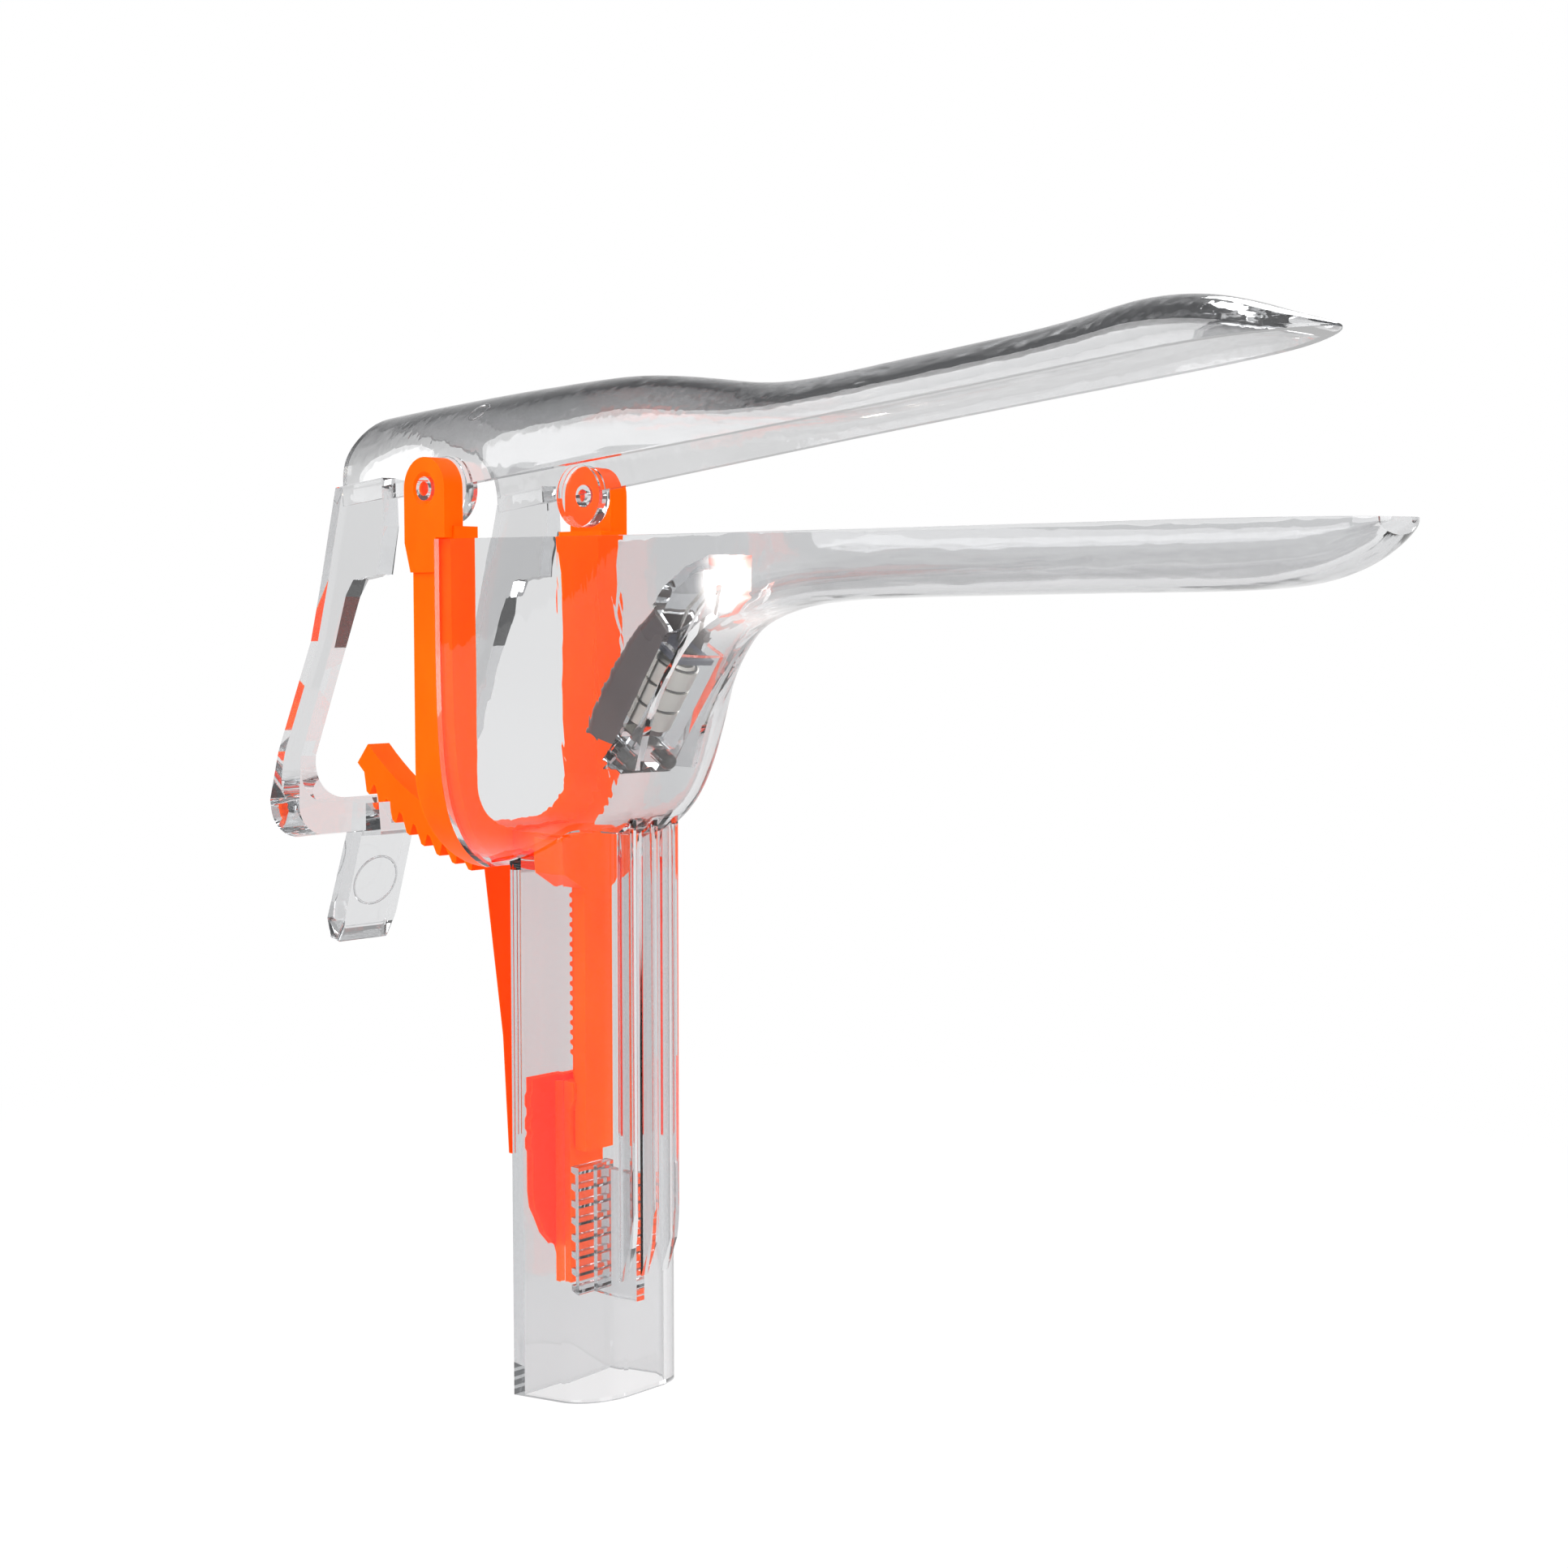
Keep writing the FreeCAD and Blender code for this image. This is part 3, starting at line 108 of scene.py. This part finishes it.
LEG_INNER = 10.4
LEG_OUTER = 11.8
LEG_SIDE = [(4.0, -64.5), (10.45, -63.6), (10.45, -113.0), (9.8, -113.0), (8.5, -93.0)]
SHOE_REAR = 12.6
SHOE_FRONT = 14.1
SHOE_OUTLINE = [
    (-9.3, -100.0), (-9.3, -102.4), (-9.7, -103.0), (-9.7, -104.6), (-9.3, -105.2),
    (-9.3, -106.4), (-9.7, -107.0), (-9.7, -108.6), (-9.3, -109.2), (-9.3, -109.8),
    (-9.7, -110.4), (-9.7, -112.0), (-9.3, -112.6), (-9.3, -119.6), (-8.9, -122.4),
    (-7.9, -124.3), (-6.6, -127.2), (-4.6, -129.5), (-3.4, -129.5), (-2.6, -132.0),
    (-0.9, -135.6), (-0.8, -114.0), (1.6, -112.0), (1.6, -100.0)]
SOFT_EDGE = 0.15
TAB_RING = {"centre": (-40.7, -0.6, -70.9), "normal": (0.948, 0.0, -0.317), "radius": 4.8,
            "rod": 0.22}
GATE_RING = {"centre": (3.97, -12.17, 13.02), "normal": (-0.056, -0.663, 0.747), "radius": 2.0,
             "rod": 0.25}

# Studio: what gloss and clear parts see of the room, and the floor round the handle's end

SKY_LOW = 0.05
SKY_HIGH = 0.60
SKY_OVERHEAD = (0.10, 0.102, 0.106)
ROOM_SIDE = (0.10, -0.995, 0.0)
ROOM_DIM = 0.10
AMBIENT = 0.38
FLOOR_CENTRE = (0.02, 0.0)
FLOOR_SHADE_NEAR = 0.05
FLOOR_SHADE_FAR = 0.30
FLOOR_WHITE_NEAR = 0.72
LIGHT_BOUNCES = 24
GLOSSY_BOUNCES = 16


# Small helpers for node trees

def new_material(name):
    """Material with an empty tree; returns it with its tree and its output node."""
    material = bpy.data.materials.new(name)
    material.use_nodes = True
    tree = material.node_tree
    tree.nodes.clear()
    output = tree.nodes.new("ShaderNodeOutputMaterial")
    return material, tree, output


def add(tree, kind, **values):
    """Node with its properties and input sockets set by name."""
    node = tree.nodes.new(kind)
    for name, value in values.items():
        if hasattr(node, name):
            setattr(node, name, value)
        else:
            node.inputs[name.replace("_", " ")].default_value = value
    return node


def link(tree, source, target, out=0, into=0):
    tree.links.new(source.outputs[out], target.inputs[into])


def spread(tree, source, out, old, new):
    """The source's value, moved from one range to another and held inside it."""
    node = add(tree, "ShaderNodeMapRange")
    node.inputs["From Min"].default_value, node.inputs["From Max"].default_value = old
    node.inputs["To Min"].default_value, node.inputs["To Max"].default_value = new
    link(tree, source, node, out=out, into="Value")
    return node


def colour_ramp(tree, source, out, *stops):
    """Colour that runs between two stops, each a position and a colour."""
    node = add(tree, "ShaderNodeValToRGB")
    for element, (position, colour) in zip(node.color_ramp.elements, stops):
        element.position = position
        element.color = (*colour, 1.0)
    link(tree, source, node, out=out, into="Fac")
    return node


def distance_from(tree, point):
    """Distance of the shaded place from a point in the object's own frame."""
    place = add(tree, "ShaderNodeTexCoord")
    away = add(tree, "ShaderNodeVectorMath", operation="DISTANCE")
    away.inputs[1].default_value = point
    link(tree, place, away, out="Object", into=0)
    return away


def times(tree, first, out, second):
    """Product of a node's value with a number or with another node's value."""
    node = add(tree, "ShaderNodeMath", operation="MULTIPLY")
    link(tree, first, node, out=out, into=0)
    if isinstance(second, float):
        node.inputs[1].default_value = second
    else:
        link(tree, second, node, into=1)
    return node


def colours_multiplied(tree, first, second, out):
    node = add(tree, "ShaderNodeMix", data_type="RGBA", blend_type="MULTIPLY")
    node.inputs[0].default_value = 1.0
    link(tree, first, node, out="Color", into=6)
    link(tree, second, node, out=out, into=7)
    return node


def noise(tree, scale, detail=3.0, roughness=0.5, stretch=WHITE):
    """Noise over the object's own coordinates, stretched by a factor along each axis."""
    place = add(tree, "ShaderNodeTexCoord")
    mapping = add(tree, "ShaderNodeMapping")
    mapping.inputs["Scale"].default_value = stretch
    link(tree, place, mapping, out="Object", into="Vector")
    texture = add(tree, "ShaderNodeTexNoise", Scale=scale, Detail=detail, Roughness=roughness)
    link(tree, mapping, texture, into="Vector")
    return texture


def rough(tree, shader, texture, low, high):
    """Roughness that drifts between two values with a texture."""
    link(tree, spread(tree, texture, "Fac", (0.25, 0.75), (low, high)), shader,
         into="Roughness")


def bump(tree, shader, texture, strength, distance):
    node = add(tree, "ShaderNodeBump", Strength=strength, Distance=distance)
    link(tree, texture, node, out="Fac", into="Height")
    link(tree, node, shader, into="Normal")


def tint(tree, shader, texture, first, second):
    """Base colour that drifts between two colours with a texture."""
    ramp = colour_ramp(tree, texture, "Fac", (0.3, first), (0.7, second))
    link(tree, ramp, shader, into="Base Color")


# Materials

def painted_edge_shade(tree, shader):
    """Painted shade: multiplies the base colour down where the surface turns away from the eye,
    for the dark edges of the clear walls.
    """
    colour = shader.inputs["Base Color"].links[0].from_node
    turned = add(tree, "ShaderNodeLayerWeight", Blend=0.5)
    shade = colour_ramp(tree, turned, "Facing", (EDGE_FROM, WHITE), (EDGE_TO, EDGE_SHADE))
    both = colours_multiplied(tree, colour, shade, "Color")
    link(tree, both, shader, out=2, into="Base Color")


def clear_plastic(name, colour, density, bending=1.52):
    """Clear moulded styrene: flow ripples, a slight tint, greyer where it is deep, with a faint
    painted glow and painted shade at its edges.
    """
    material, tree, output = new_material(name)
    shader = add(tree, "ShaderNodeBsdfPrincipled", IOR=bending)
    shader.inputs["Transmission Weight"].default_value = 1.0
    # painted glow: a faint white emission all over the clear plastic
    shader.inputs["Emission Color"].default_value = (*WHITE, 1.0)
    shader.inputs["Emission Strength"].default_value = PAINTED_HAZE_GLOW
    flow = noise(tree, 38.0, 1.0, 0.4, (0.45, 1.0, 1.0))
    tint(tree, shader, flow, colour, tuple(min(1.0, part * 1.03) for part in colour))
    # painted shade: the clear walls darken towards their edges as seen from the eye
    painted_edge_shade(tree, shader)
    rough(tree, shader, flow, 0.0, 0.03)
    bump(tree, shader, flow, FLOW_RIPPLE, 0.0004)
    depth = add(tree, "ShaderNodeVolumeAbsorption", Density=density)
    depth.inputs["Color"].default_value = (*DEPTH_COLOUR, 1.0)
    link(tree, shader, output, into="Surface")
    link(tree, depth, output, into="Volume")
    return material, tree, shader


def painted_lamp_glow(tree, shader, strength, reach):
    """Painted glow: emission that lets a clear piece shine round the tip of the lit diode,
    fading with distance.
    """
    away = distance_from(tree, LED_TIP)
    fade = spread(tree, away, "Value", (GLOW_FROM, reach), (1.0, 0.0))
    steep = add(tree, "ShaderNodeMath", operation="POWER")
    steep.inputs[1].default_value = GLOW_FADE
    link(tree, fade, steep, into=0)
    link(tree, times(tree, steep, 0, strength), shader, into="Emission Strength")
    shader.inputs["Emission Color"].default_value = (*PAINTED_GLOW_COLOUR, 1.0)


def orange_plastic(name, green):
    """Saturated orange moulding, a little translucent, with faint flow marks and a painted glow
    that brightens it where it lies in shade.
    """
    material, tree, output = new_material(name)
    shader = add(tree, "ShaderNodeBsdfPrincipled", IOR=1.5)
    shader.inputs["Specular IOR Level"].default_value = 0.04
    shader.inputs["Subsurface Weight"].default_value = 0.2
    shader.inputs["Subsurface Radius"].default_value = (0.004, 0.0012, 0.0003)
    shader.inputs["Subsurface Scale"].default_value = 1.0
    # painted glow: emission that stands in for light scattered inside the orange plastic
    shader.inputs["Emission Color"].default_value = (*ORANGE_PAINTED_GLOW, 1.0)
    shader.inputs["Emission Strength"].default_value = ORANGE_PAINTED_GLOW_STRENGTH
    flow = noise(tree, 90.0, 4.0, 0.55, (1.0, 1.0, 0.4))
    tint(tree, shader, flow, (1.0, green * 0.8, 0.0), (1.0, green, 0.0))
    rough(tree, shader, flow, 0.28, 0.42)
    bump(tree, shader, noise(tree, 700.0, 2.0), 0.12, 0.0001)
    link(tree, shader, output, into="Surface")
    return material


def moulded(name, dark, light, roughness, grain):
    """Opaque moulded plastic with a fine grain."""
    material, tree, output = new_material(name)
    shader = add(tree, "ShaderNodeBsdfPrincipled", IOR=1.49)
    flow = noise(tree, grain / 12, 3.0)
    tint(tree, shader, flow, dark, light)
    rough(tree, shader, flow, roughness * 0.85, roughness * 1.15)
    bump(tree, shader, noise(tree, grain, 3.0), 0.15, 0.0001)
    link(tree, shader, output, into="Surface")
    return material


def metal(name, colour, roughness, along):
    """Drawn or rolled metal with fine lines along one direction."""
    material, tree, output = new_material(name)
    shader = add(tree, "ShaderNodeBsdfPrincipled", Metallic=1.0)
    lines = noise(tree, 900.0, 4.0, 0.6, along)
    tint(tree, shader, lines, tuple(part * 0.9 for part in colour), colour)
    rough(tree, shader, lines, roughness * 0.7, roughness * 1.3)
    bump(tree, shader, lines, 0.2, 0.00005)
    link(tree, shader, output, into="Surface")
    return material


def lit_diode():
    """Diode that shines, hottest at the tip of its dome."""
    material, tree, output = new_material("lit_diode")
    shader = add(tree, "ShaderNodeBsdfPrincipled", IOR=1.5, Roughness=0.1)
    shader.inputs["Emission Strength"].default_value = LED_STRENGTH
    away = distance_from(tree, LED_TIP)
    share = times(tree, away, "Value", 1.0 / LED_COOL_AT)
    heat = colour_ramp(tree, share, 0, (0.0, LED_HOT), (1.0, LED_COOL))
    link(tree, heat, shader, into="Emission Color")
    link(tree, heat, shader, into="Base Color")
    link(tree, shader, output, into="Surface")
    return material


def dress_nodes(orange):
    upper_clear = clear_plastic("clear_upper", UPPER_TINT_WITH_SHADE, BLADE_DENSITY)[0]
    lower_clear, tree, shader = clear_plastic("clear_lower", LOWER_TINT, BLADE_DENSITY)
    # painted glow round the diode on the lower blade and on the tray and light guide
    painted_lamp_glow(tree, shader, 0.6, 0.015)
    tray_clear, tree, shader = clear_plastic("clear_tray", TRAY_TINT, TRAY_DENSITY,
                                               TRAY_BENDING)
    painted_lamp_glow(tree, shader, 7.0, 0.0082)
    cover = moulded("cover_plastic", (0.060, 0.050, 0.052), (0.080, 0.068, 0.068), 0.30, 900.0)
    black = moulded("black_plastic", (0.020, 0.018, 0.016), (0.034, 0.030, 0.026), 0.30, 1500.0)
    board = moulded("board_laminate", (0.030, 0.034, 0.055), (0.055, 0.060, 0.090), 0.40, 2500.0)
    steel = metal("cell_steel", (0.90, 0.86, 0.79), 0.38, (1.0, 1.0, 0.1))
    tinned = metal("tinned_strip", (0.80, 0.79, 0.75), 0.22, (0.1, 1.0, 1.0))
    looks = {"lower_blade": lower_clear, "upper_blade": upper_clear, "lamp_carrier": tray_clear,
             "light_guide": tray_clear, "yoke": orange, "lamp_cover": cover,
             "circuit_board": board, "resistor": black, "contact_post_near": black,
             "contact_post_far": black, "led": lit_diode(), "led_leads": tinned,
             "contact_spring": tinned, "contact_strip": tinned}
    for name, thing in NODES.items():
        if name.endswith("_gasket"):
            look = black
        elif name.startswith("cell_"):
            look = steel
        else:
            look = looks[name]
        for index in range(len(thing.material_slots)):
            thing.material_slots[index].material = look
    for name in CLEAR_NODES:
        NODES[name].visible_shadow = False
        NODES[name].visible_diffuse = False
    return upper_clear


# Marks and orange pieces that the solids lack

def meshed(name, points, faces, material, body):
    """New piece of one material, riding on a body."""
    mesh = bpy.data.meshes.new(name)
    mesh.from_pydata(points, [], faces)
    mesh.materials.append(material)
    piece = bpy.data.objects.new(name, mesh)
    bpy.context.scene.collection.objects.link(piece)
    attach(piece, body)
    return piece


def orange_plate(name, corners, low, high, across, material, body):
    """Plate between two planes: corners are (X, Z) pairs across Y, or (Y, Z) pairs along X."""
    total = len(corners)
    points = []
    for depth in (low, high):
        for first, second in corners:
            point = (first, depth, second) if across else (depth, first, second)
            points.append([part / 1000 for part in point])
    faces = [tuple(range(total)), tuple(range(2 * total - 1, total - 1, -1))]
    faces += [(i, (i + 1) % total, (i + 1) % total + total, i + total)
              for i in range(total)]
    plate = meshed(name, points, faces, material, body)
    bevel = plate.modifiers.new("soft_edges", "BEVEL")
    bevel.width = SOFT_EDGE / 1000
    bevel.segments = 2


def flat_ring(name, place, material):
    """Thin moulded ring lying on a surface of the upper blade."""
    around, across = 48, 8
    radius, rod = place["radius"], place["rod"]
    points, faces = [], []
    for i in range(around):
        angle = 2 * math.pi * i / around
        for j in range(across):
            turn = 2 * math.pi * j / across
            reach = (radius + rod * math.cos(turn)) / 1000
            points.append((reach * math.cos(angle), reach * math.sin(angle),
                           0.6 * rod * math.sin(turn) / 1000))
            after, beside = (i + 1) % around, (j + 1) % across
            faces.append((i * across + j, after * across + j, after * across + beside,
                          i * across + beside))
    ring = meshed(name, points, faces, material, "upper")
    ring.data.polygons.foreach_set("use_smooth", [True] * len(faces))
    ring.location = Vector(place["centre"]) / 1000
    ring.rotation_euler = Vector(place["normal"]).to_track_quat("Z", "Y").to_euler()
    ring.visible_shadow = False


# Studio

def seen_by_lens(tree):
    """1 for rays that come straight from the lens, off gloss or through clear parts."""
    path = add(tree, "ShaderNodeLightPath")
    first = add(tree, "ShaderNodeMath", operation="MAXIMUM")
    second = add(tree, "ShaderNodeMath", operation="MAXIMUM")
    link(tree, path, first, out="Is Camera Ray", into=0)
    link(tree, path, first, out="Is Glossy Ray", into=1)
    link(tree, first, second, into=0)
    link(tree, path, second, out="Is Transmission Ray", into=1)
    return path, second


def white_world():
    """White sweep behind the object; for gloss and clear parts, greyer overhead and in front."""
    world = bpy.data.worlds.new("studio")
    bpy.context.scene.world = world
    world.use_nodes = True
    tree = world.node_tree
    tree.nodes.clear()
    output = tree.nodes.new("ShaderNodeOutputWorld")
    path, shown = seen_by_lens(tree)
    place = add(tree, "ShaderNodeTexCoord")
    split = add(tree, "ShaderNodeSeparateXYZ")
    link(tree, place, split, out="Generated", into=0)
    sky = colour_ramp(tree, split, "Z", (SKY_LOW, WHITE), (SKY_HIGH, SKY_OVERHEAD))
    facing = add(tree, "ShaderNodeVectorMath", operation="DOT_PRODUCT")
    facing.inputs[1].default_value = ROOM_SIDE
    link(tree, place, facing, out="Generated", into=0)
    dim = spread(tree, facing, "Value", (-0.25, 0.45), (1.0, ROOM_DIM))
    room = colours_multiplied(tree, sky, dim, 0)
    plain = add(tree, "ShaderNodeMix", data_type="RGBA")
    link(tree, path, plain, out="Is Camera Ray", into=0)
    link(tree, room, plain, out=2, into=6)
    plain.inputs[7].default_value = (*WHITE, 1.0)
    shine = add(tree, "ShaderNodeBackground", Strength=1.0)
    link(tree, plain, shine, out=2, into="Color")
    ambient = add(tree, "ShaderNodeBackground", Strength=AMBIENT)
    ambient.inputs["Color"].default_value = (*WHITE, 1.0)
    mix = add(tree, "ShaderNodeMixShader")
    link(tree, shown, mix, into=0)
    link(tree, ambient, mix, into=1)
    link(tree, shine, mix, into=2)
    link(tree, mix, output, into="Surface")


def pale_floor():
    """Floor that the handle's end stands on; white to the lens, but it keeps its shadow."""
    mesh = bpy.data.meshes.new("floor")
    low = CAD_BOUNDS[0].z - 0.0002
    corners = [(-3, -3, low), (3, -3, low), (3, 3, low), (-3, 3, low)]
    mesh.from_pydata(corners, [], [(0, 1, 2, 3)])
    floor = bpy.data.objects.new("floor", mesh)
    bpy.context.scene.collection.objects.link(floor)
    material, tree, output = new_material("floor_paper")
    paper = add(tree, "ShaderNodeBsdfDiffuse")
    paper.inputs["Color"].default_value = (0.90, 0.90, 0.90, 1.0)
    white = add(tree, "ShaderNodeEmission", Strength=1.0)
    shown = seen_by_lens(tree)[1]
    away = distance_from(tree, (*FLOOR_CENTRE, low))
    far = spread(tree, away, "Value", (FLOOR_SHADE_NEAR, FLOOR_SHADE_FAR),
                 (FLOOR_WHITE_NEAR, 1.0))
    mix = add(tree, "ShaderNodeMixShader")
    link(tree, times(tree, shown, 0, far), mix, into=0)
    link(tree, paper, mix, into=1)
    link(tree, white, mix, into=2)
    link(tree, mix, output, into="Surface")
    mesh.materials.append(material)
    floor.visible_glossy = False


def softbox(name, place, target, size, power):
    data = bpy.data.lights.new(name, "AREA")
    data.shape = "RECTANGLE"
    data.size, data.size_y = size
    data.energy = power
    lamp = bpy.data.objects.new(name, data)
    lamp.location = place
    lamp.rotation_euler = (Vector(target) - Vector(place)).to_track_quat("-Z", "Y").to_euler()
    bpy.context.scene.collection.objects.link(lamp)


def studio_lamps():
    middle = (0.04, 0.0, -0.05)
    softbox("key", (-0.35, -0.75, 0.55), middle, (0.9, 1.1), 13.0)
    softbox("fill", (0.85, -0.25, 0.25), middle, (0.6, 0.8), 5.0)
    softbox("back", (0.05, 0.75, 0.45), middle, (0.7, 0.4), 4.0)


def camera():
    data = bpy.data.cameras.new("camera")
    data.lens = LENS
    data.sensor_width = SENSOR
    data.clip_start = 0.01
    view = bpy.data.objects.new("camera", data)
    level = math.cos(ELEVATION)
    toward = Vector((math.sin(AZIMUTH) * level, -math.cos(AZIMUTH) * level, math.sin(ELEVATION)))
    view.location = AIM + DISTANCE * toward
    view.rotation_euler = (-toward).to_track_quat("-Z", "Y").to_euler()
    bpy.context.scene.collection.objects.link(view)
    bpy.context.scene.camera = view


# guide legs and shoe: the same orange plastic, made darker as painted shade
deep = orange_plastic("shaded_orange_plastic", SHADED_ORANGE_GREEN)
clear = dress_nodes(orange_plastic("orange_plastic", ORANGE_GREEN))
for leg, low, high in (("guide_leg_near", -LEG_OUTER, -LEG_INNER),
                       ("guide_leg_far", LEG_INNER, LEG_OUTER)):
    orange_plate(leg, LEG_SIDE, low, high, True, deep, "lower")
orange_plate("guide_shoe", SHOE_OUTLINE, SHOE_REAR, SHOE_FRONT, False, deep, "yoke")
flat_ring("tab_ring", TAB_RING, clear)
flat_ring("gate_ring", GATE_RING, clear)
white_world()
pale_floor()
studio_lamps()
camera()
bpy.context.scene.view_settings.view_transform = "Standard"

# Light crosses many walls of clear plastic, and runs along them, before it comes out

bpy.context.scene.cycles.max_bounces = LIGHT_BOUNCES
bpy.context.scene.cycles.glossy_bounces = GLOSSY_BOUNCES
bpy.context.scene.cycles.transmission_bounces = LIGHT_BOUNCES
